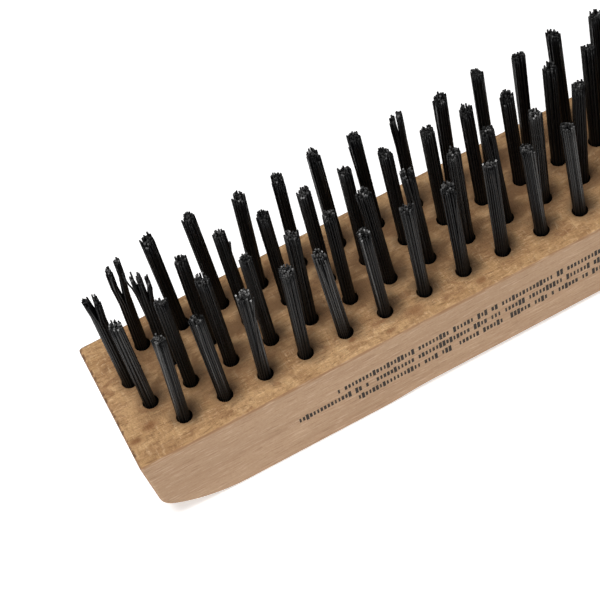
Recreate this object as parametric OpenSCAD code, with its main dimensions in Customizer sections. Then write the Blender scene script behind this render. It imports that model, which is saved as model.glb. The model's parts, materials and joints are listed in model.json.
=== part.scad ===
// Wire scratch brush with a one-piece wooden block and handle.
// Four rows of folded steel wire tufts stand in drilled holes, and a flat wire anchor
// driven across each hole holds the fold of its tuft.
// X runs from the nose to the end of the handle and Z points up along the bristles.
// The origin is on the resting surface, below the middle of the brush.

/* [Bristles] */
// Number of tufts in each row
columns = 18; // [6:1:20]
// Spacing of the tufts along a row
pitch = 8.5; // [7.5:0.1:9]
// Spacing of the rows across the block
row_gap = 6.4; // [5:0.1:6.6]
// How far the second row sits towards the nose
second_row_shift = 4.1; // [0:0.1:5]
// How far the third row sits towards the nose
third_row_shift = 5.6; // [0:0.1:6]
// How far the wires stand out of the bristle face
tuft_height = 27.6; // [15:0.1:40]
// Diameter of one tuft of wires
tuft_d = 2.8; // [2.2:0.1:2.9]

/* [Holes] */
// Diameter of the tuft holes
hole_d = 3.2; // [3.1:0.1:3.6]
// Depth of the tuft holes
hole_depth = 12; // [9:0.5:14]
// Diameter of the hang hole
hang_hole_d = 6.4; // [5:0.1:7]
// Distance of the hang hole from the end of the handle
hang_hole_inset = 20; // [18:0.5:26]

/* [Anchors] */
// Length of the flat wire anchor, across the hole and into the wood
anchor_length = 4.4; // [4:0.1:5]
// Height of the anchor
anchor_height = 2.2; // [1.6:0.1:2.6]
// Thickness of the anchor
anchor_thickness = 0.4; // [0.3:0.05:0.6]

/* [Block] */
// Overall length of the brush
brush_length = 356; // [340:1:400]
// Width of the block that carries the bristles
block_width = 31.5; // [30:0.5:36]
// Thickness of the block at the nose
block_height = 20.2; // [18:0.1:24]
// Distance of the first tuft of the outer rows from the nose
nose_margin = 12; // [10:0.1:14]
// Rounding of the long edges of the block
edge_radius = 0.7; // [0.6:0.1:2.5]
// How far the sawn nose is out of square across the block
nose_skew = 0.8; // [0:0.1:2]
// How far the nose is undercut at its bottom
nose_lean = 1.2; // [0:0.1:2]
// Radius of the upswept underside of the nose
toe_radius = 29; // [24:1:32]
// Radius of the corner between the nose and its underside
toe_corner = 4.5; // [3:0.5:7]
// Length of the upswept part of the underside
toe_length = 18.8; // [16:0.2:20]
// Length of the flat pad under the nose
nose_pad = 29; // [20:1:34]
// How far the underside is relieved behind the nose pad
relief = 0.7; // [0.5:0.1:2]

/* [Handle] */
// Width of the handle at its neck
neck_width = 23; // [20:0.5:28]
// Thickness of the handle at its neck
neck_height = 15.5; // [14:0.5:18]
// Width of the grip
grip_width = 26; // [24:0.5:30]
// Width of the handle at the hang hole
end_width = 27; // [24:0.5:30]
// Thickness of the handle at the hang hole
end_height = 18.6; // [16:0.2:19]
// Rounding of the handle's long edges
grip_radius = 4.5; // [3:0.1:5]

/* [Hidden] */
$fn = 48;
rows = 4;
overlap = 1;                          // cutting tools run this far past a face
nose_x = -brush_length / 2;
end_x = brush_length / 2;
first_x = nose_x + nose_margin;
face_z = block_height;
last_margin = 9;                      // from the last tuft to the end of the block
block_end_x = first_x + (columns - 1) * pitch + last_margin;
row_shifts = [0, second_row_shift, third_row_shift, 0];
tip_z = face_z + tuft_height;
hole_z = face_z - hole_depth;
fold_radius = tuft_d / 2;
fold_gap = 0.2;                       // between the fold and the bottom of its hole
fold_z = hole_z + fold_gap;
fold_thickness = 1;                   // wires under the anchor
anchor_z = fold_z + fold_thickness;   // underside of the anchor
pad_start_x = nose_x + toe_length;
pad_end_x = pad_start_x + nose_pad;
relief_length = 11;                   // over which the underside eases up behind the pad
hang_x = end_x - hang_hole_inset;
hang_z = end_height / 2;
corner_steps = 6;
end_plan_radius = 11;                 // rounding of the handle's end, seen from above
end_side_radius = 5;                  // rounding of the handle's end, seen from the side
end_rings = 8;
span_rings = 12;

neck_run = 26;                        // from the block's end to the neck
neck_z = 2.6;                         // underside of the neck
grip_z = 1.4;                         // underside of the grip
grip_top = 19;
grip_lead = 8;                        // how far the grip's fullest place lies past halfway
flare_run = 12;                       // from the widened end's start to the hang hole
least_flat = 0.05;                    // flat kept between the rounded corners of a section

// Stations along the handle: place, width, underside, top and edge radius
neck_x = block_end_x + neck_run;
grip_x = (neck_x + hang_x) / 2 + grip_lead;
flare_x = hang_x - flare_run;
round_x = end_x - end_plan_radius;
stations = [
    [block_end_x, block_width, relief, face_z, edge_radius],
    [neck_x, neck_width, neck_z, neck_z + neck_height, grip_radius],
    [grip_x, grip_width, grip_z, grip_top, grip_radius],
    [flare_x, end_width, 0, end_height, grip_radius],
    [round_x, end_width, 0, end_height, grip_radius]
];

function two_digits(i) = i < 10 ? str("0", i) : str(i);
function bristle_name(i) = str("bristle_column_", two_digits(i));
function anchor_name(i) = str("anchor_column_", two_digits(i));

// Place of one tuft on the bristle face
function tuft_x(column, row) = first_x + (column - 1) * pitch - row_shifts[row];
function tuft_y(row) = (row - (rows - 1) / 2) * row_gap;

// Points of an arc from one angle to another, both ends included
function arc(x, y, r, from, to, steps) =
    [for (i = [0 : steps]) let (a = from + (to - from) * i / steps) [x + r * cos(a), y + r * sin(a)]];

// Smooth step from 0 to 1
function ease(t) = (1 - cos(180 * t)) / 2;
function blend(a, b, t) = [for (i = [0 : len(a) - 1]) a[i] + (b[i] - a[i]) * t];

// Rounded rectangle across the wood: full width, underside, top and corner radius
function section(width, low, high, radius) =
    let (r = min(radius, (high - low) / 2 - least_flat, width / 2 - least_flat), y = width / 2 - r)
    concat(
        arc(y, low + r, r, -90, 0, corner_steps),
        arc(y, high - r, r, 0, 90, corner_steps),
        arc(-y, high - r, r, 90, 180, corner_steps),
        arc(-y, low + r, r, 180, 270, corner_steps)
    );

// Rings of the handle: each is a station's place with the section there
function handle_rings() = concat(
    [for (s = [0 : len(stations) - 2]) for (i = [0 : span_rings - 1])
        let (t = i / span_rings, x = stations[s][0] + (stations[s + 1][0] - stations[s][0]) * t)
        concat([x], blend_tail(s, ease(t)))],
    [for (i = [0 : end_rings]) let (a = 90 * i / end_rings) end_ring(a)]
);
function blend_tail(s, t) =
    let (m = blend(stations[s], stations[s + 1], t)) [m[1], m[2], m[3], m[4]];
function end_ring(a) = [
    round_x + end_plan_radius * sin(a),
    end_width - 2 * end_plan_radius * (1 - cos(a)),
    end_side_radius * (1 - cos(a)),
    end_height - end_side_radius * (1 - cos(a)),
    grip_radius
];

// Skin over a row of rings that all have the same number of points
module skin(rings) {
    outlines = [for (r = rings) section(r[1], r[2], r[3], r[4])];
    n = len(outlines[0]);
    last = len(rings) - 1;
    points = [for (k = [0 : last]) for (p = outlines[k]) [rings[k][0], p[0], p[1]]];
    sides = [for (k = [0 : last - 1]) for (j = [0 : n - 1])
        let (a = k * n + j, b = k * n + (j + 1) % n)
        each [[a, a + n, b + n], [a, b + n, b]]];
    start_cap = [[for (j = [0 : n - 1]) j]];
    end_cap = [[for (j = [0 : n - 1]) last * n + n - 1 - j]];
    polyhedron(points, concat(sides, start_cap, end_cap), convexity = 6);
}

// Side view of the block, nose on the left: an upswept toe, the resting pad and the relief
function block_outline() =
    let (
        // the corner arc meets the leaning nose and touches the toe arc from inside
        corner_x = nose_x + nose_lean + toe_corner,
        reach = toe_radius - toe_corner,
        corner_z = toe_radius - sqrt(pow(reach, 2) - pow(pad_start_x - corner_x, 2)),
        touch = 270 - asin((pad_start_x - corner_x) / reach)
    )
    concat(
        [[block_end_x + overlap, face_z], [nose_x, face_z]],
        arc(corner_x, corner_z, toe_corner, 180, touch, corner_steps),
        arc(pad_start_x, toe_radius, toe_radius, touch, 270, 2 * corner_steps),
        [for (i = [0 : span_rings])
            [pad_end_x + relief_length * i / span_rings, relief * ease(i / span_rings)]],
        [[block_end_x + overlap, relief]]
    );

// The side view drawn out across the brush and turned until its nose is out of square
module skewed_outline() {
    translate([nose_x, -block_width / 2, 0]) rotate(-asin(nose_skew / block_width))
        translate([-nose_x, 0, 0]) rotate([90, 0, 0])
            linear_extrude(3 * block_width, center = true) polygon(block_outline());
}

module block() {
    intersection() {
        skewed_outline();
        translate([nose_x - overlap, 0, 0]) rotate([90, 0, 90])
            linear_extrude(block_end_x - nose_x + overlap)
                polygon(section(block_width, 0, face_z, edge_radius));
    }
}

// Every tuft of one column, set out on the block
module each_tuft(column) {
    for (row = [0 : rows - 1])
        translate([tuft_x(column, row), tuft_y(row), 0]) children();
}

module anchor() {
    translate([0, 0, anchor_z + anchor_height / 2])
        cube([anchor_thickness, anchor_length, anchor_height], center = true);
}

// A tuft of wires bent double round its anchor, cut level at the tips
module tuft() {
    difference() {
        union() {
            translate([0, 0, fold_z + fold_radius]) cylinder(tip_z - fold_z - fold_radius, d = tuft_d);
            intersection() {
                translate([0, 0, fold_z]) cylinder(fold_radius, d = tuft_d);
                translate([0, 0, fold_z + fold_radius]) rotate([90, 0, 0])
                    cylinder(tuft_d, r = fold_radius, center = true);
            }
        }
        anchor();
    }
}

module wooden_handle() {
    color("burlywood")
        difference() {
            union() {
                block();
                skin(handle_rings());
            }
            for (column = [1 : columns]) each_tuft(column) {
                translate([0, 0, hole_z]) cylinder(hole_depth + overlap, d = hole_d);
                anchor();
            }
            translate([hang_x, 0, hang_z]) rotate([90, 0, 0])
                cylinder(end_width + 2 * overlap, d = hang_hole_d, center = true);
        }
}

module bristle_column(column) {
    color("darkslategray") each_tuft(column) tuft();
}

module anchor_column(column) {
    color("silver") each_tuft(column) anchor();
}

wooden_handle();
for (i = [1 : columns]) {
    bristle_column(i);
    anchor_column(i);
}
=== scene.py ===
import json
import math
import random

import bmesh
import bpy
from mathutils import Matrix, Quaternion, Vector

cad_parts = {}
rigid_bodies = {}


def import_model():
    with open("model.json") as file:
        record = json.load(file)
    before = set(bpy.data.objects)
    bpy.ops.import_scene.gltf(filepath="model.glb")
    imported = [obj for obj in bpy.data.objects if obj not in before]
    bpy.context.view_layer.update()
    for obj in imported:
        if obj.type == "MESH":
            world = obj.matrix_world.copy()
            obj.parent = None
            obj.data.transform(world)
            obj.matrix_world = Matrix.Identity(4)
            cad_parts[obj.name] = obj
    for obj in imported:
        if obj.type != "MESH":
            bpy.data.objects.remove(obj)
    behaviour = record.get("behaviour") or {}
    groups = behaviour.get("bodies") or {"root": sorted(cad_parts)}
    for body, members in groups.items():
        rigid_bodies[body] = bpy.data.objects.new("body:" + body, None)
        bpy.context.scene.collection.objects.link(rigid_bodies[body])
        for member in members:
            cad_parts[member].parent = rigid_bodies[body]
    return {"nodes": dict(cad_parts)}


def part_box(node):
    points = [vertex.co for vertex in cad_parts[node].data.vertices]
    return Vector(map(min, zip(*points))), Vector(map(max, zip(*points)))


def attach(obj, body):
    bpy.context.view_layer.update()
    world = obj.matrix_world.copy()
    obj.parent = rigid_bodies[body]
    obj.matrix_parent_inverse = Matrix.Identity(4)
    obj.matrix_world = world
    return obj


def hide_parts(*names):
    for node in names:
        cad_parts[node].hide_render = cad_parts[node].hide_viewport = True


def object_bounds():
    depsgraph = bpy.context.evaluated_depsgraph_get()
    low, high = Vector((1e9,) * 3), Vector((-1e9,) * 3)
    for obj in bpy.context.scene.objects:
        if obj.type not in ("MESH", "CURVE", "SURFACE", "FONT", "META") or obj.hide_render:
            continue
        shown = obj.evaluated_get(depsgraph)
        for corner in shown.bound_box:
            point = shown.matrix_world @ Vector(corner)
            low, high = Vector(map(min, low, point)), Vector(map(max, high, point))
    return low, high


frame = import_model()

MM = 0.001
cad_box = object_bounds()
low = Vector(cad_box[0])

# ---------------------------------------------------------------- studio
# The brush lies on its back on a plain pale table, with its wires up. A broad soft light
# stands low at its nose, weaker ones hang overhead and stand behind, and the room is dim.

scene = bpy.context.scene
scene.view_settings.view_transform = "Standard"

lens_mm = 129.9
camera_place = Vector((low.x - 17 * MM, -236.7 * MM, 350.1 * MM))
camera_aim = Vector((low.x + 42.1 * MM, 1.8 * MM, 20.2 * MM))
camera_roll = math.radians(-16.08)

camera_data = bpy.data.cameras.new("camera")
camera_data.lens = lens_mm
camera_data.clip_start = 0.01
camera = bpy.data.objects.new("camera", camera_data)
scene.collection.objects.link(camera)
camera.location = camera_place
camera.rotation_mode = "QUATERNION"
aim_turn = (camera_aim - camera_place).to_track_quat("-Z", "Y")
camera.rotation_quaternion = aim_turn @ Quaternion((0, 0, 1), camera_roll)
scene.camera = camera

floor_size = 6.0
floor_grey = 0.84
floor_glow = 0.46
floor_bm = bmesh.new()
bmesh.ops.create_grid(floor_bm, x_segments=1, y_segments=1, size=floor_size / 2)
floor_mesh = bpy.data.meshes.new("floor")
floor_bm.to_mesh(floor_mesh)
floor_bm.free()
floor = bpy.data.objects.new("floor", floor_mesh)
scene.collection.objects.link(floor)
floor_paint = bpy.data.materials.new("pale_table")
floor_paint.use_nodes = True
floor_skin = floor_paint.node_tree.nodes["Principled BSDF"]
floor_skin.inputs["Base Color"].default_value = (floor_grey, floor_grey, floor_grey, 1)
floor_skin.inputs["Roughness"].default_value = 0.9
floor_skin.inputs["Specular IOR Level"].default_value = 0.1
floor_skin.inputs["Emission Color"].default_value = (1, 1, 1, 1)
floor_skin.inputs["Emission Strength"].default_value = floor_glow
floor_mesh.materials.append(floor_paint)

lit_spot = Vector((low.x + 80 * MM, 0, 20 * MM))


def soft_light(name, offset, width, height, watts):
    """A white rectangular light that stands off from the lit spot and looks at it."""
    data = bpy.data.lights.new(name, "AREA")
    data.shape = "RECTANGLE"
    data.size = width
    data.size_y = height
    data.energy = watts
    light = bpy.data.objects.new(name, data)
    scene.collection.objects.link(light)
    light.location = lit_spot + Vector(offset)
    light.rotation_mode = "QUATERNION"
    light.rotation_quaternion = (-Vector(offset)).to_track_quat("-Z", "Y")


soft_light("front_light", (-0.95, -1.05, 0.33), width=0.8, height=0.3, watts=11.5)
soft_light("high_light", (-0.3, -0.15, 1.35), width=0.6, height=0.6, watts=15)
soft_light("back_light", (0.6, 1.2, 0.5), width=0.9, height=0.5, watts=2)

room = bpy.data.worlds.new("room")
room.use_nodes = True
room.node_tree.nodes["Background"].inputs["Color"].default_value = (1, 1, 1, 1)
room.node_tree.nodes["Background"].inputs["Strength"].default_value = 0.12
scene.world = room

# ---------------------------------------------------------------- wooden block and handle
# One piece of beech: sawn to outline, drilled from the bristle face and belt sanded, so
# its long edges are softly broken and the mouths of its holes are a little frayed.

body = "root"
first_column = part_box("bristle_column_01")
second_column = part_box("bristle_column_02")
columns = sum(name.startswith("bristle_column_") for name in frame["nodes"])
pitch = second_column[1][0] - first_column[1][0]
tuft_radius = 1.4 * MM
rows = 4
row_gap = (first_column[1][1] - first_column[0][1] - 2 * tuft_radius) / (rows - 1)
third_row_shift = first_column[1][0] - first_column[0][0] - 2 * tuft_radius
second_row_shift = 4.1 * MM
row_shifts = (0, second_row_shift, third_row_shift, 0)
first_x = first_column[1][0] - tuft_radius
hole_radius = 1.6 * MM
hole_depth = 12 * MM

wood_low, wood_high = (Vector(corner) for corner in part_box("wooden_handle"))
face_z = wood_high.z
block_width = wood_high.y - wood_low.y
last_margin = 9 * MM
block_end_x = first_x + (columns - 1) * pitch + last_margin
edge_radius = 0.7 * MM
nose_x = wood_low.x
nose_skew = 0.8 * MM
nose_lean = 1.2 * MM
toe_radius = 29 * MM
toe_corner = 4.5 * MM
toe_length = 18.8 * MM
nose_pad = 29 * MM
pad_end_x = nose_x + toe_length + nose_pad
relief = 0.7 * MM
relief_length = 11 * MM


def hole_place(column, row):
    """Centre of one drilled hole on the bristle face."""
    x = first_x + column * pitch - row_shifts[row]
    y = (row - (rows - 1) / 2) * row_gap
    return Vector((x, y, face_z))


def arc(x, z, radius, start, end, steps):
    """Points of an arc in the side view, angles in degrees."""
    angles = [math.radians(start + (end - start) * i / steps) for i in range(steps + 1)]
    return [(x + radius * math.cos(a), z + radius * math.sin(a)) for a in angles]


def ease(t):
    return (1 - math.cos(math.pi * t)) / 2


def block_outline():
    """Side view of the block: nose, upswept toe, resting pad and relieved underside."""
    pad_start = nose_x + toe_length
    corner_x = nose_x + nose_lean + toe_corner
    reach = toe_radius - toe_corner
    corner_z = toe_radius - math.sqrt(reach ** 2 - (pad_start - corner_x) ** 2)
    touch = 270 - math.degrees(math.asin((pad_start - corner_x) / reach))
    steps = 8
    points = [(block_end_x, face_z), (nose_x, face_z)]
    points += arc(corner_x, corner_z, toe_corner, 180, touch, steps)
    points += arc(pad_start, toe_radius, toe_radius, touch, 270, 2 * steps)[1:]
    for i in range(steps + 1):
        points.append((pad_end_x + relief_length * i / steps, relief * ease(i / steps)))
    points.append((block_end_x, relief))
    return points


# Sizes of the handle, which leaves the block through a neck and swells into a grip
neck_run = 26 * MM
neck_width = 23 * MM
neck_z = 2.6 * MM
neck_height = 15.5 * MM
grip_lead = 8 * MM
grip_width = 26 * MM
grip_z = 1.4 * MM
grip_top = 19 * MM
grip_radius = 4.5 * MM
flare_run = 12 * MM
end_width = 27 * MM
end_height = 18.6 * MM
end_plan_radius = 11 * MM
end_side_radius = 5 * MM
hang_inset = 20 * MM
hang_radius = 3.2 * MM

# Stations along the handle: place, width, underside, top and edge radius
hang_x = wood_high.x - hang_inset
neck_x = block_end_x + neck_run
grip_x = (neck_x + hang_x) / 2 + grip_lead
round_x = wood_high.x - end_plan_radius
stations = [
    (block_end_x, block_width, relief, face_z, edge_radius),
    (neck_x, neck_width, neck_z, neck_z + neck_height, grip_radius),
    (grip_x, grip_width, grip_z, grip_top, grip_radius),
    (hang_x - flare_run, end_width, 0, end_height, grip_radius),
    (round_x, end_width, 0, end_height, grip_radius),
]


def handle_rings():
    """Sections from the block to the rounded end of the handle."""
    span_rings = 12
    for start, end in zip(stations, stations[1:]):
        for i in range(1, span_rings + 1):
            t = i / span_rings
            x = start[0] + (end[0] - start[0]) * t
            yield (x, *(a + (b - a) * ease(t) for a, b in zip(start[1:], end[1:])))
    end_rings = 8
    for i in range(1, end_rings + 1):
        a = math.pi / 2 * i / end_rings
        drop = 1 - math.cos(a)
        yield (
            round_x + end_plan_radius * math.sin(a),
            end_width - 2 * end_plan_radius * drop,
            end_side_radius * drop,
            end_height - end_side_radius * drop,
            grip_radius,
        )


def clamp(value, lowest, highest):
    return max(lowest, min(highest, value))


wood_bm = bmesh.new()
outline = [wood_bm.verts.new((x, -block_width / 2, z)) for x, z in block_outline()]
side = wood_bm.faces.new(outline)
swept = bmesh.ops.extrude_face_region(wood_bm, geom=[side])
bmesh.ops.translate(
    wood_bm,
    vec=(0, block_width, 0),
    verts=[g for g in swept["geom"] if isinstance(g, bmesh.types.BMVert)],
)
# The nose is sawn a little out of square
touching = 0.01 * MM
for vert in wood_bm.verts:
    if vert.co.x < pad_end_x - touching:
        vert.co.x += nose_skew * (vert.co.y / block_width + 0.5)
bmesh.ops.recalc_face_normals(wood_bm, faces=wood_bm.faces)
sharp_angle = math.radians(40)
sharp = [
    edge
    for edge in wood_bm.edges
    if edge.calc_face_angle(0) > sharp_angle
    and min(v.co.x for v in edge.verts) < block_end_x - touching
]
bmesh.ops.bevel(
    wood_bm, geom=sharp, offset=edge_radius, affect="EDGES", segments=3, profile=0.5, material=-1
)

# The handle is drawn out of the block's end, ring by ring
least_flat = 0.05 * MM
section_now = stations[0]
for x, width, under, top, radius in handle_rings():
    _, old_width, old_under, old_top, old_radius = section_now
    radius = min(radius, (top - under) / 2 - least_flat, width / 2 - least_flat)
    end_faces = [
        face
        for face in wood_bm.faces
        if all(abs(v.co.x - section_now[0]) < touching for v in face.verts)
    ]
    grown = bmesh.ops.extrude_face_region(wood_bm, geom=end_faces)
    bmesh.ops.delete(wood_bm, geom=end_faces, context="FACES")
    for vert in (g for g in grown["geom"] if isinstance(g, bmesh.types.BMVert)):
        old_y = old_width / 2 - old_radius
        old_low, old_high = old_under + old_radius, old_top - old_radius
        centre_y = clamp(vert.co.y, -old_y, old_y)
        centre_z = clamp(vert.co.z, old_low, old_high)
        out_y = (vert.co.y - centre_y) / old_radius
        out_z = (vert.co.z - centre_z) / old_radius
        rise = (centre_z - old_low) / (old_high - old_low)
        vert.co.x = x
        vert.co.y = centre_y * (width / 2 - radius) / old_y + out_y * radius
        vert.co.z = under + radius + rise * (top - under - 2 * radius) + out_z * radius
    section_now = (x, width, under, top, radius)
bmesh.ops.recalc_face_normals(wood_bm, faces=wood_bm.faces)

wood_mesh = bpy.data.meshes.new("wood")
wood_bm.to_mesh(wood_mesh)
wood_bm.free()
wood = bpy.data.objects.new("beech_body", wood_mesh)
scene.collection.objects.link(wood)

# Drills: one turned cutter for each hole, with a slightly frayed mouth
drill_random = random.Random(7)
drill_bm = bmesh.new()
mouth = 0.04 * MM
mouth_taper = 0.2
above = 1 * MM
drill_profile = [
    (0, -hole_depth),
    (hole_radius, -hole_depth),
    (hole_radius, -mouth),
    (hole_radius + mouth, 0),
    (hole_radius + mouth + above * mouth_taper, above),
    (0, above),
]
for column in range(columns):
    for row in range(rows):
        place = hole_place(column, row)
        points = [drill_bm.verts.new(place + Vector((r, 0, z))) for r, z in drill_profile]
        edges = [drill_bm.edges.new(pair) for pair in zip(points, points[1:])]
        bmesh.ops.spin(
            drill_bm,
            geom=points + edges,
            cent=place,
            axis=(0, 0, 1),
            angle=2 * math.pi,
            steps=24,
            use_merge=True,
        )
bmesh.ops.remove_doubles(drill_bm, verts=drill_bm.verts, dist=touching)
bmesh.ops.recalc_face_normals(drill_bm, faces=drill_bm.faces)
for vert in drill_bm.verts:
    if abs(vert.co.z - face_z) < touching:
        fray = Vector((drill_random.gauss(0, 1), drill_random.gauss(0, 1), 0))
        vert.co += fray * mouth
hang_place = Vector((hang_x, 0, end_height / 2))
bmesh.ops.create_cone(
    drill_bm,
    cap_ends=True,
    segments=48,
    radius1=hang_radius,
    radius2=hang_radius,
    depth=2 * block_width,
    matrix=Matrix.Translation(hang_place) @ Matrix.Rotation(math.pi / 2, 4, "X"),
)
drill_mesh = bpy.data.meshes.new("drills")
drill_bm.to_mesh(drill_mesh)
drill_bm.free()
drills = bpy.data.objects.new("drills", drill_mesh)
scene.collection.objects.link(drills)

drilling = wood.modifiers.new("drilling", "BOOLEAN")
drilling.operation = "DIFFERENCE"
drilling.solver = "EXACT"
drilling.object = drills
bpy.context.view_layer.update()
drilled = bpy.data.meshes.new_from_object(wood.evaluated_get(bpy.context.evaluated_depsgraph_get()))
wood.modifiers.remove(drilling)
wood.data = drilled
bpy.data.objects.remove(drills)
drilled.polygons.foreach_set("use_smooth", [True] * len(drilled.polygons))
shading_angle = math.radians(35)
drilled.set_sharp_from_angle(angle=shading_angle)
evened = wood.modifiers.new("even_shading", "WEIGHTED_NORMAL")
evened.keep_sharp = True


class Wiring:
    """Short hand for building a material: adds nodes and joins their sockets."""

    def __init__(self, tree):
        self.tree = tree

    def add(self, kind, **settings):
        node = self.tree.nodes.new(kind)
        for key, value in settings.items():
            setattr(node, key, value)
        return node

    def put(self, socket, value):
        if isinstance(value, bpy.types.NodeSocket):
            self.tree.links.new(value, socket)
        else:
            socket.default_value = value

    def math(self, operation, *values, clamped=False):
        node = self.add("ShaderNodeMath", operation=operation, use_clamp=clamped)
        for socket, value in zip(node.inputs, values):
            self.put(socket, value)
        return node.outputs[0]

    def parts(self, vector):
        node = self.add("ShaderNodeSeparateXYZ")
        self.put(node.inputs[0], vector)
        return node.outputs

    def stretch(self, vector, scale):
        node = self.add("ShaderNodeMapping")
        self.put(node.inputs["Vector"], vector)
        node.inputs["Scale"].default_value = scale
        return node.outputs[0]

    def cloud(self, vector, scale, detail=4.0, roughness=0.55, distortion=0.0):
        node = self.add("ShaderNodeTexNoise")
        self.put(node.inputs["Vector"], vector)
        node.inputs["Scale"].default_value = scale
        node.inputs["Detail"].default_value = detail
        node.inputs["Roughness"].default_value = roughness
        node.inputs["Distortion"].default_value = distortion
        return node.outputs["Fac"]

    def span(self, value, start, end, first=0.0, last=1.0):
        node = self.add("ShaderNodeMapRange", interpolation_type="SMOOTHSTEP")
        for socket, number in zip(node.inputs, (value, start, end, first, last)):
            self.put(socket, number)
        return node.outputs[0]

    def mix(self, amount, first, second, blend="MIX"):
        node = self.add("ShaderNodeMix", data_type="RGBA", blend_type=blend)
        self.put(node.inputs[0], amount)
        self.put(node.inputs[6], first)
        self.put(node.inputs[7], second)
        return node.outputs[2]

    def all_of(self, first, *others):
        """Product of several masks."""
        for mask in others:
            first = self.math("MULTIPLY", first, mask)
        return first

    def within(self, off_x, off_y):
        """Distance from a point, from its two offsets."""
        squares = self.math("ADD", self.math("POWER", off_x, 2), self.math("POWER", off_y, 2))
        return self.math("SQRT", squares)


def new_material(name):
    material = bpy.data.materials.new(name)
    material.use_nodes = True
    wiring = Wiring(material.node_tree)
    return material, wiring, material.node_tree.nodes["Principled BSDF"]


beech, w, skin = new_material("beech")
coordinates = w.add("ShaderNodeTexCoord")
here = coordinates.outputs["Object"]
facing = w.parts(coordinates.outputs["Normal"])
spot = w.parts(here)

# Noises, most of them drawn out along the grain
figure = w.cloud(w.stretch(here, (0.1, 1, 1)), 260, detail=4, distortion=0.3)
streaks = w.cloud(w.stretch(here, (0.05, 1, 1)), 1100, detail=5, roughness=0.65)
fibres = w.cloud(w.stretch(here, (0.09, 1, 1)), 2600, detail=3, roughness=0.6)
fuzz = w.cloud(w.stretch(here, (1, 0.3, 1)), 1500, detail=4, roughness=0.7)
torn = w.cloud(w.stretch(here, (0.22, 1, 1)), 2300, detail=4, roughness=0.75, distortion=0.5)
speckle = w.cloud(here, 2200, detail=3, roughness=0.6)
patches = w.cloud(w.stretch(here, (0.55, 1, 1)), 260, detail=6, roughness=0.62, distortion=0.8)
spots = w.cloud(w.stretch(here, (0.7, 1, 1)), 330, detail=3, distortion=0.6)
blotches = w.cloud(w.stretch(here, (0.7, 1, 1)), 200, detail=5, roughness=0.6, distortion=0.6)

# Planed sides: pinkish, with fine streaks and the short brown flecks of beech; darker than the face
# partly as painted shade, since the low front light falls full on them
pink_wood = (0.385, 0.254, 0.155, 1)
deep_pink_wood = (0.338, 0.218, 0.131, 1)
pore_brown = (0.3, 0.185, 0.112, 1)
streak_brown = (0.29, 0.175, 0.105, 1)
fleck_brown = (0.22, 0.125, 0.07, 1)
pale_fibre = (0.58, 0.425, 0.3, 1)
side_wood = w.mix(w.span(figure, 0.3, 0.7), pink_wood, deep_pink_wood)
side_wood = w.mix(w.span(speckle, 0.4, 0.62, 0, 0.36), side_wood, pore_brown)
side_wood = w.mix(w.span(streaks, 0.5, 0.68, 0, 0.42), side_wood, streak_brown)
side_wood = w.mix(w.span(fibres, 0.56, 0.67, 0, 0.5), side_wood, fleck_brown)
side_wood = w.mix(w.span(fibres, 0.45, 0.32, 0, 0.42), side_wood, pale_fibre)

# Bristle face: rougher and yellower, furry across the grain, with brown patches; paler than the
# sides partly as painted light, since the tufts keep light off it
yellow_wood = (0.595, 0.362, 0.177, 1)
deep_yellow_wood = (0.49, 0.286, 0.131, 1)
patch_brown = (0.28, 0.135, 0.058, 1)
torn_brown = (0.2, 0.1, 0.045, 1)
torn_pale = (0.82, 0.56, 0.32, 1)
fuzz_brown = (0.26, 0.135, 0.065, 1)
fuzz_pale = (0.78, 0.54, 0.31, 1)
spot_brown = (0.24, 0.105, 0.045, 1)
face_wood = w.mix(w.span(figure, 0.35, 0.65), yellow_wood, deep_yellow_wood)
face_wood = w.mix(w.span(patches, 0.46, 0.61, 0, 0.52), face_wood, patch_brown)
face_wood = w.mix(w.span(torn, 0.52, 0.65, 0, 0.6), face_wood, torn_brown)
face_wood = w.mix(w.span(torn, 0.46, 0.32, 0, 0.65), face_wood, torn_pale)
face_wood = w.mix(w.span(fuzz, 0.53, 0.68, 0, 0.35), face_wood, fuzz_brown)
face_wood = w.mix(w.span(fuzz, 0.45, 0.3, 0, 0.5), face_wood, fuzz_pale)
face_wood = w.mix(w.span(spots, 0.6, 0.68, 0, 0.5), face_wood, spot_brown)

# Painted shadow of each tuft on the face, with wire dust and oil round each hole: a ragged dark
# ring, shifted to the side away from the nose where the shadows fall
shadow_drift_x, shadow_drift_y = 0.9 * MM, 0.6 * MM
dust_and_shadow_brown = (0.085, 0.05, 0.027, 1)
nearest = None
for row in range(rows):
    row_x = first_x - row_shifts[row] + shadow_drift_x
    row_y = (row - (rows - 1) / 2) * row_gap + shadow_drift_y
    step = w.math("DIVIDE", w.math("SUBTRACT", spot[0], row_x), pitch)
    hole = w.math("MINIMUM", w.math("MAXIMUM", w.math("ROUND", step), 0), columns - 1)
    off_x = w.math("MULTIPLY", w.math("SUBTRACT", step, hole), pitch)
    away = w.within(off_x, w.math("SUBTRACT", spot[1], row_y))
    nearest = away if nearest is None else w.math("MINIMUM", nearest, away)
dust_and_shadow_ring = w.math("MULTIPLY_ADD", patches, 5 * MM, w.math("SUBTRACT", nearest, 2.5 * MM))
dust_and_shadow_ring = w.math("MULTIPLY_ADD", fuzz, 1.6 * MM, w.math("SUBTRACT", dust_and_shadow_ring, 0.8 * MM))
face_wood = w.mix(w.span(dust_and_shadow_ring, 4.6 * MM, 0.9 * MM, 0, 0.85), face_wood, dust_and_shadow_brown)

# Painted shade: the wood between the inner rows is darkened in blotches, where the tufts shade it
between_rows_shade = w.all_of(
    w.span(spot[1], -9.6 * MM, -5 * MM),
    w.span(spot[1], 15 * MM, 11 * MM),
    w.span(blotches, 0.4, 0.6, 0.2, 0.85),
    w.span(spot[0], block_end_x, block_end_x - 10 * MM),
    w.span(spot[0], nose_x + 2 * MM, nose_x + 9 * MM),
)
between_rows_shade_brown = (0.2, 0.105, 0.048, 1)
face_wood = w.mix(between_rows_shade, face_wood, between_rows_shade_brown)

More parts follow.
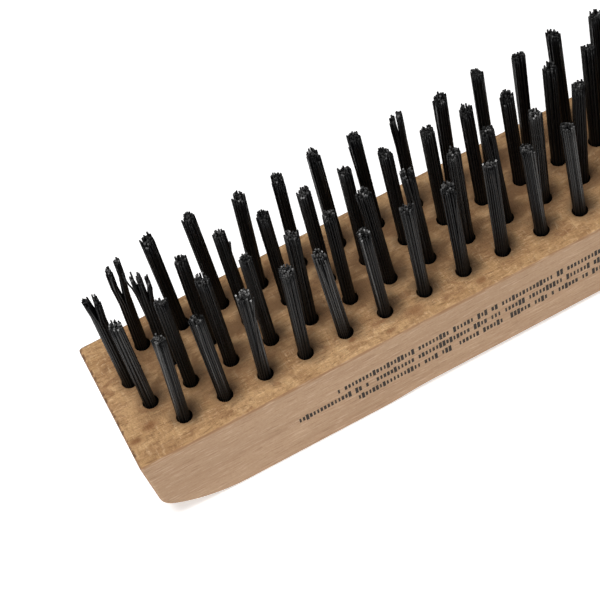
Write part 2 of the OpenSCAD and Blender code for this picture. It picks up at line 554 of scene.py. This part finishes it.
# Reddish stains and a small knot in the front margin: place along and across, half length
stains = (
    (5.5 * MM, -8 * MM, 2.4 * MM),
    (1.9 * MM, -9.6 * MM, 1.8 * MM),
    (53.3 * MM, -14 * MM, 1.5 * MM),
    (59.3 * MM, -12.4 * MM, 3 * MM),
    (46.2 * MM, -11.9 * MM, 1.1 * MM),
    (73.2 * MM, -13.4 * MM, 2 * MM),
)
stain_narrowing = 1.7
stain_red = (0.22, 0.085, 0.032, 1)
for stain_x, stain_y, reach in stains:
    off_x = w.math("SUBTRACT", spot[0], low.x + stain_x)
    off_y = w.math("MULTIPLY", w.math("SUBTRACT", spot[1], stain_y), stain_narrowing)
    away = w.math("SUBTRACT", w.within(off_x, off_y), 1.2 * MM)
    away = w.math("MULTIPLY_ADD", torn, 2.4 * MM, away)
    face_wood = w.mix(w.span(away, reach, 0.4 * MM, 0, 0.7), face_wood, stain_red)

# End grain on the nose and the handle's end: darker, with the growth rings cut across
late_wood = (0.275, 0.162, 0.088, 1)
early_wood = (0.35, 0.22, 0.127, 1)
end_pore_brown = (0.2, 0.11, 0.058, 1)
rings = w.cloud(w.stretch(here, (0.1, 0.1, 1)), 1100, detail=3, distortion=0.1)
end_wood = w.mix(w.span(rings, 0.4, 0.65), early_wood, late_wood)
end_wood = w.mix(w.span(speckle, 0.45, 0.65, 0, 0.6), end_wood, end_pore_brown)

# The handle is sanded smooth all round, so only the block has the rough bristle face
on_block = w.span(spot[0], block_end_x + 20 * MM, block_end_x + 2 * MM)
upward = w.math("MULTIPLY", w.span(facing[2], 0.72, 0.96), on_block)
endward = w.span(w.math("ABSOLUTE", facing[0]), 0.55, 0.85)
wood_colour = w.mix(upward, side_wood, face_wood)
wood_colour = w.mix(endward, wood_colour, end_wood)

# Sanding leaves a warm, darker line along the edge between the face and the sides
edge_line = w.all_of(
    w.span(facing[2], 0.25, 0.6),
    w.span(facing[2], 0.98, 0.8),
    w.span(fibres, 0.35, 0.6, 0.25, 0.75),
    w.span(spot[0], block_end_x + 10 * MM, block_end_x - 10 * MM),
)
edge_brown = (0.26, 0.135, 0.065, 1)
wood_colour = w.mix(edge_line, wood_colour, edge_brown)

# The saw leaves small dark nicks along the top edge of the nose
skewed = w.math("MULTIPLY_ADD", spot[1], nose_skew / block_width, nose_x + nose_skew / 2)
nick_noise = w.cloud(w.stretch(here, (0.3, 1, 1)), 700, detail=3, roughness=0.7)
nicks = w.all_of(
    w.span(nick_noise, 0.48, 0.56, 0, 0.85),
    w.span(w.math("SUBTRACT", spot[0], skewed), 0.8 * MM, 0.3 * MM),
    w.span(spot[2], face_z - 0.9 * MM, face_z - 0.6 * MM),
)
nick_brown = (0.1, 0.045, 0.02, 1)
wood_colour = w.mix(nicks, wood_colour, nick_brown)

# Inside the drilled holes the wood is scorched and shaded
inside = w.all_of(
    w.span(spot[2], face_z - 0.05 * MM, face_z - 0.3 * MM),
    w.math("GREATER_THAN", spot[2], face_z - hole_depth - 0.1 * MM),
    w.span(w.math("ABSOLUTE", spot[1]), block_width / 2 - 1.5 * MM, block_width / 2 - 2.5 * MM),
    w.span(spot[0], block_end_x, block_end_x - 2 * MM),
    w.span(spot[0], nose_x + 2 * MM, nose_x + 3 * MM),
)
scorch_and_shade = (0.03, 0.018, 0.01, 1)
wood_colour = w.mix(inside, wood_colour, scorch_and_shade)

# Printed use notes on the front side, as three rows of plain ticks in words of uneven length:
# each row has its start, its end and its level
tick_pitch, tick_width = 0.76 * MM, 0.4
short_tick, tall_tick = 0.6 * MM, 0.9 * MM
gap_chance = 0.12
print_rise = 0.02
print_rows = (
    (43.4 * MM, 118 * MM, 7.6 * MM),
    (31 * MM, 126 * MM, 9.9 * MM),
    (39.7 * MM, 121 * MM, 12.6 * MM),
)
ink_black = (0.02, 0.016, 0.014, 1)
ink = None
for number, (start, end, level) in enumerate(print_rows):
    run = w.math("SUBTRACT", spot[0], low.x + start)
    lift = w.math("SUBTRACT", spot[2], w.math("MULTIPLY_ADD", run, print_rise, level))
    cell = w.math("DIVIDE", run, tick_pitch)
    count = w.math("FLOOR", cell)
    dice = w.add("ShaderNodeTexWhiteNoise", noise_dimensions="1D")
    w.put(dice.inputs["W"], w.math("ADD", count, 100.5 * (number + 1)))
    chance = dice.outputs["Value"]
    beside = w.math("ABSOLUTE", w.math("SUBTRACT", w.math("SUBTRACT", cell, count), 0.5))
    tall = w.span(chance, 0.7, 0.9, short_tick, tall_tick)
    mark = w.all_of(
        w.math("LESS_THAN", beside, w.span(chance, 0.2, 1, tick_width * 0.6, tick_width)),
        w.math("LESS_THAN", w.math("ABSOLUTE", lift), tall),
        w.math("GREATER_THAN", chance, gap_chance),
        w.math("GREATER_THAN", run, 0),
        w.math("LESS_THAN", spot[0], low.x + end),
    )
    ink = mark if ink is None else w.math("MAXIMUM", ink, mark)
ink = w.all_of(ink, w.span(facing[1], -0.8, -0.95), w.span(fibres, 0.75, 0.5, 0.8, 1))
wood_colour = w.mix(ink, wood_colour, ink_black)

w.put(skin.inputs["Base Color"], wood_colour)
w.put(skin.inputs["Roughness"], w.span(streaks, 0.2, 0.8, 0.62, 0.8))
skin.inputs["Specular IOR Level"].default_value = 0.2
side_height = w.math("MULTIPLY_ADD", streaks, 0.35, w.math("MULTIPLY", fibres, 0.2))
face_height = w.math("MULTIPLY_ADD", fuzz, 1.6, w.math("MULTIPLY_ADD", torn, -1.8, speckle))
height = w.math("MULTIPLY_ADD", upward, w.math("SUBTRACT", face_height, side_height), side_height)
bump = w.add("ShaderNodeBump")
bump.inputs["Strength"].default_value = 0.7
bump.inputs["Distance"].default_value = 0.2 * MM
w.put(bump.inputs["Height"], height)
w.put(skin.inputs["Normal"], bump.outputs[0])

wood.data.materials.clear()
wood.data.materials.append(beech)
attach(wood, body)
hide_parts("wooden_handle")

# ---------------------------------------------------------------- bristle tufts
# Each tuft is eighteen lengths of dark oil-tempered steel wire, bent double round an
# anchor in the bottom of its hole. The tips are sheared off after filling, not quite level.

wire_radius = 0.19 * MM
wire_sides = 6
anchor_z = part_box("anchor_column_01")[0][2]
anchor_half = 0.2 * MM
tip_z = first_column[1][2]

# The wires lie in layers beside the anchor: how far out, and how many
layers = ((0.19 * MM, 7), (0.54 * MM, 6), (0.88 * MM, 4), (1.18 * MM, 1))
lay_gap = 0.39 * MM
leg_levels = (1, 0.91, 0.82, 0.73, 0.6, 0.35, 0.12, 0)

# The front rows are worn shorter than the back ones, and each row behind is darkened with painted
# shade
painted_row_shades = (1, 0.8, 0.55, 0.45)
row_wear = (1.8 * MM, 0.9 * MM, 0, 0)

# Tufts at the nose that stand out, by column and row: number of prongs, and where they part
whole_tuft = (0, 0.75)
parted_tufts = {(0, 3): (2, 0.66), (0, 2): (2, 0.84), (1, 2): (3, 0.78), (0, 1): (1, 0.9)}
part_run = 0.13
knit = 0.12

# Chances that an ordinary tuft splits, and that one wire strays or is cut short
split_chance = 0.16
stray_chance = 0.02
short_chance = 0.07


def new_ring(bm, ring, shift):
    """Draws the open end of a wire out by one length, and returns its new end."""
    drawn = bmesh.ops.extrude_edge_only(bm, edges=ring)
    verts = {g for g in drawn["geom"] if isinstance(g, bmesh.types.BMVert)}
    bmesh.ops.translate(bm, verts=list(verts), vec=shift)
    return [
        g
        for g in drawn["geom"]
        if isinstance(g, bmesh.types.BMEdge) and g.verts[0] in verts and g.verts[1] in verts
    ]


def verts_of(ring):
    """The points of a ring of edges, each of them once."""
    return list(dict.fromkeys(vert for edge in ring for vert in edge.verts))


def shear(verts, centre, slope):
    """Cuts the end of a wire at a slant."""
    for vert in verts:
        vert.co.z += (vert.co - centre).dot(slope)


def bent_wire(down, up, slope):
    """One wire: down its first leg, round the anchor, and up its second leg."""
    bm = bmesh.new()
    made = bmesh.ops.create_circle(
        bm, cap_ends=True, segments=wire_sides, radius=wire_radius,
        matrix=Matrix.Translation(down[0]),
    )
    ring = list(bm.edges)
    for upper, lower in zip(down, down[1:]):
        ring = new_ring(bm, ring, lower - upper)
    shear(made["verts"], down[0], slope)
    turned = bmesh.ops.spin(
        bm,
        geom=ring + verts_of(ring),
        cent=(down[-1] + up[0]) / 2,
        axis=(0, -1, 0),
        angle=math.pi,
        steps=3,
    )
    ring = [g for g in turned["geom_last"] if isinstance(g, bmesh.types.BMEdge)]
    for lower, upper in zip(up, up[1:]):
        ring = new_ring(bm, ring, upper - lower)
    shear(verts_of(ring), up[-1], slope)
    bmesh.ops.contextual_create(bm, geom=ring)
    return bm


class Tuft:
    """How one tuft stands: its twist, lean and slanted cut, and how it parts at the top."""

    def __init__(self, hole, wear, parting, dice):
        self.wear = wear
        prongs, self.part_level = parting
        off_centre = Vector((dice.gauss(-0.12, 0.04), dice.gauss(-0.04, 0.03), 0)) * MM
        self.centre = hole + off_centre
        self.dice = dice
        self.twist = dice.gauss(0, 0.5)
        self.lean = Vector((dice.gauss(-0.002, 0.018), dice.gauss(0, 0.016), 0))
        self.swell = dice.gauss(0.01, 0.04)
        self.cut = Vector((dice.gauss(0, 0.3), dice.gauss(0, 0.3), 0))
        gap = dice.uniform(0.12, 0.32) * MM
        uneven = 1.2 * MM
        if prongs:
            gap = dice.uniform(0.75, 0.95) * MM / max(prongs - 1, 1)
            uneven = 3 * MM
        elif dice.random() < split_chance:
            prongs = 2
        self.prongs = max(prongs, 1)
        self.gap = gap
        turn = dice.gauss(0, 0.35)
        self.part_way = Vector((math.cos(turn), math.sin(turn), 0))
        self.drops = [dice.uniform(0, uneven) for _ in range(self.prongs)]
        self.drops[dice.randrange(self.prongs)] = 0

    def leg(self, across, beside):
        """Points of one leg from its tip down to the fold."""
        dice = self.dice
        flat = Vector((across, beside, 0))
        flat.rotate(Quaternion((0, 0, 1), self.twist))
        stray = Vector((dice.gauss(0, 0.07), dice.gauss(0, 0.07), 0)) * MM
        if dice.random() < stray_chance:
            stray += Vector((dice.gauss(0, 1), dice.gauss(0, 1), 0)) * 0.9 * MM
        place = (flat.dot(self.part_way) / tuft_radius + 1) / 2
        prong = clamp(int(place * self.prongs), 0, self.prongs - 1)
        prong_middle = self.part_way * ((2 * prong + 1) / self.prongs - 1) * tuft_radius
        aside = self.part_way * (prong - (self.prongs - 1) / 2) * self.gap
        if self.prongs > 1:
            aside += (prong_middle - flat) * knit
        whole_length = tip_z - face_z - self.wear
        length = whole_length - (0.2 + abs(dice.gauss(0, 0.45))) * MM + self.cut.dot(flat)
        length -= self.drops[prong]
        if dice.random() < short_chance:
            length -= dice.uniform(0.4, 1.6) * MM
        length = min(length, whole_length - wire_radius)
        points = []
        for level in leg_levels:
            rise = level * length
            parting = ease(clamp((level - self.part_level) / part_run, 0, 1))
            side = flat * (1 + self.swell * level) + stray * level ** 2 + aside * parting
            points.append(self.centre + side + self.lean * rise + Vector((0, 0, rise)))
        offset = math.copysign(anchor_half, across)
        foot = Vector((self.centre.x + across + offset, self.centre.y + beside, anchor_z))
        points.append(foot)
        return points


wire_random = random.Random(41)
steel_pieces = []
for column in range(columns):
    tuft_mesh = bpy.data.meshes.new(f"tufts_{column + 1:02d}")
    column_bm = bmesh.new()
    tone = column_bm.verts.layers.float.new("wire_tone")
    for row in range(rows):
        parting = parted_tufts.get((column, row), whole_tuft)
        tuft = Tuft(hole_place(column, row), row_wear[row], parting, wire_random)
        for depth, count in layers:
            for i in range(count):
                beside = (i - (count - 1) / 2) * lay_gap
                slope = Vector((wire_random.gauss(0, 0.3), wire_random.gauss(0, 0.3), 0))
                wire = bent_wire(tuft.leg(-depth, beside), tuft.leg(depth, beside)[::-1], slope)
                wire_mesh = bpy.data.meshes.new("wire")
                wire.to_mesh(wire_mesh)
                wire.free()
                known = len(column_bm.verts)
                column_bm.from_mesh(wire_mesh)
                bpy.data.meshes.remove(wire_mesh)
                column_bm.verts.ensure_lookup_table()
                # Each wire's tone differs at random, scaled by the painted shade of its row
                shade = wire_random.random() * painted_row_shades[row]
                for vert in column_bm.verts[known:]:
                    vert[tone] = shade
    bmesh.ops.recalc_face_normals(column_bm, faces=column_bm.faces)
    for face in column_bm.faces:
        cut_end = len(face.verts) == wire_sides
        face.smooth = not cut_end
        face.material_index = 1 if cut_end else 0
    column_bm.to_mesh(tuft_mesh)
    column_bm.free()
    piece = bpy.data.objects.new(f"wire_tufts_{column + 1:02d}", tuft_mesh)
    scene.collection.objects.link(piece)
    steel_pieces.append(piece)


def drawn_marks_group():
    """Fine marks that the drawing die leaves along steel wire, shared by every steel here."""
    group = bpy.data.node_groups.new("drawn_marks", "ShaderNodeTree")
    group.interface.new_socket("Stretch", in_out="INPUT", socket_type="NodeSocketVector")
    group.interface.new_socket("Scale", in_out="INPUT", socket_type="NodeSocketFloat")
    group.interface.new_socket("Marks", in_out="OUTPUT", socket_type="NodeSocketFloat")
    w = Wiring(group)
    wanted = w.add("NodeGroupInput")
    spread = w.add("ShaderNodeMapping")
    w.put(spread.inputs["Vector"], w.add("ShaderNodeTexCoord").outputs["Object"])
    w.put(spread.inputs["Scale"], wanted.outputs["Stretch"])
    grain = w.add("ShaderNodeTexNoise")
    w.put(grain.inputs["Vector"], spread.outputs[0])
    w.put(grain.inputs["Scale"], wanted.outputs["Scale"])
    grain.inputs["Detail"].default_value = 3
    w.put(w.add("NodeGroupOutput").inputs["Marks"], grain.outputs["Fac"])
    return group


drawn_marks = drawn_marks_group()


def marks_on(w, stretch, scale):
    node = w.add("ShaderNodeGroup", node_tree=drawn_marks)
    node.inputs["Stretch"].default_value = stretch
    node.inputs["Scale"].default_value = scale
    return node.outputs["Marks"]


dark_wire, w, skin = new_material("dark_wire")
tone = w.add("ShaderNodeAttribute", attribute_name="wire_tone").outputs["Fac"]
marks = marks_on(w, (1, 1, 0.1), 3500)
height = w.parts(w.add("ShaderNodeTexCoord").outputs["Object"])[2]
# Painted shade: the wires are darkened towards their roots in the face, and are rougher there
root = w.span(height, face_z + 8 * MM, face_z)
oiled_black = (0.002, 0.002, 0.0022, 1)
pale_wire_grey = (0.07, 0.068, 0.066, 1)
die_mark = (0.009, 0.008, 0.007, 1)
root_shade_black = (0.002, 0.002, 0.002, 1)
wire_colour = w.mix(w.math("POWER", tone, 3.5), oiled_black, pale_wire_grey)
wire_colour = w.mix(w.span(marks, 0.5, 0.75, 0, 0.5), wire_colour, die_mark)
wire_colour = w.mix(root, wire_colour, root_shade_black)
w.put(skin.inputs["Base Color"], wire_colour)
rough = w.math("MULTIPLY_ADD", tone, -0.1, w.span(marks, 0.3, 0.7, 0.3, 0.4))
w.put(skin.inputs["Roughness"], w.math("MULTIPLY_ADD", root, 0.15, rough))
skin.inputs["Specular IOR Level"].default_value = 0.14

cut_steel, w, skin = new_material("cut_steel")
# The cut ends take each wire's tone too, with its row's painted shade
tone = w.add("ShaderNodeAttribute", attribute_name="wire_tone").outputs["Fac"]
marks = marks_on(w, (1, 0.2, 1), 9000)
dull_end = (0.01, 0.01, 0.01, 1)
bright_end = (0.24, 0.236, 0.232, 1)
w.put(skin.inputs["Base Color"], w.mix(w.math("POWER", tone, 2.2), dull_end, bright_end))
w.put(skin.inputs["Roughness"], w.span(marks, 0.3, 0.7, 0.35, 0.55))
skin.inputs["Metallic"].default_value = 0.5

for column, piece in enumerate(steel_pieces):
    piece.data.materials.append(dark_wire)
    piece.data.materials.append(cut_steel)
    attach(piece, body)
    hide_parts(f"bristle_column_{column + 1:02d}")

# ---------------------------------------------------------------- anchors
# Short lengths of bright flat wire, driven across the bottom of each hole so that their
# ends bite into the wood and hold the fold of the tuft.

anchor_steel, w, skin = new_material("anchor_steel")
marks = marks_on(w, (1, 0.1, 1), 6000)
steel_grey = (0.5, 0.5, 0.5, 1)
steel_bright = (0.62, 0.61, 0.6, 1)
w.put(skin.inputs["Base Color"], w.mix(marks, steel_grey, steel_bright))
w.put(skin.inputs["Roughness"], w.span(marks, 0.3, 0.7, 0.25, 0.4))
skin.inputs["Metallic"].default_value = 1
for column in range(columns):
    plates = bpy.data.objects[f"anchor_column_{column + 1:02d}"]
    plates.data.materials.clear()
    plates.data.materials.append(anchor_steel)

# ---------------------------------------------------------------- scene update

bpy.context.view_layer.update()
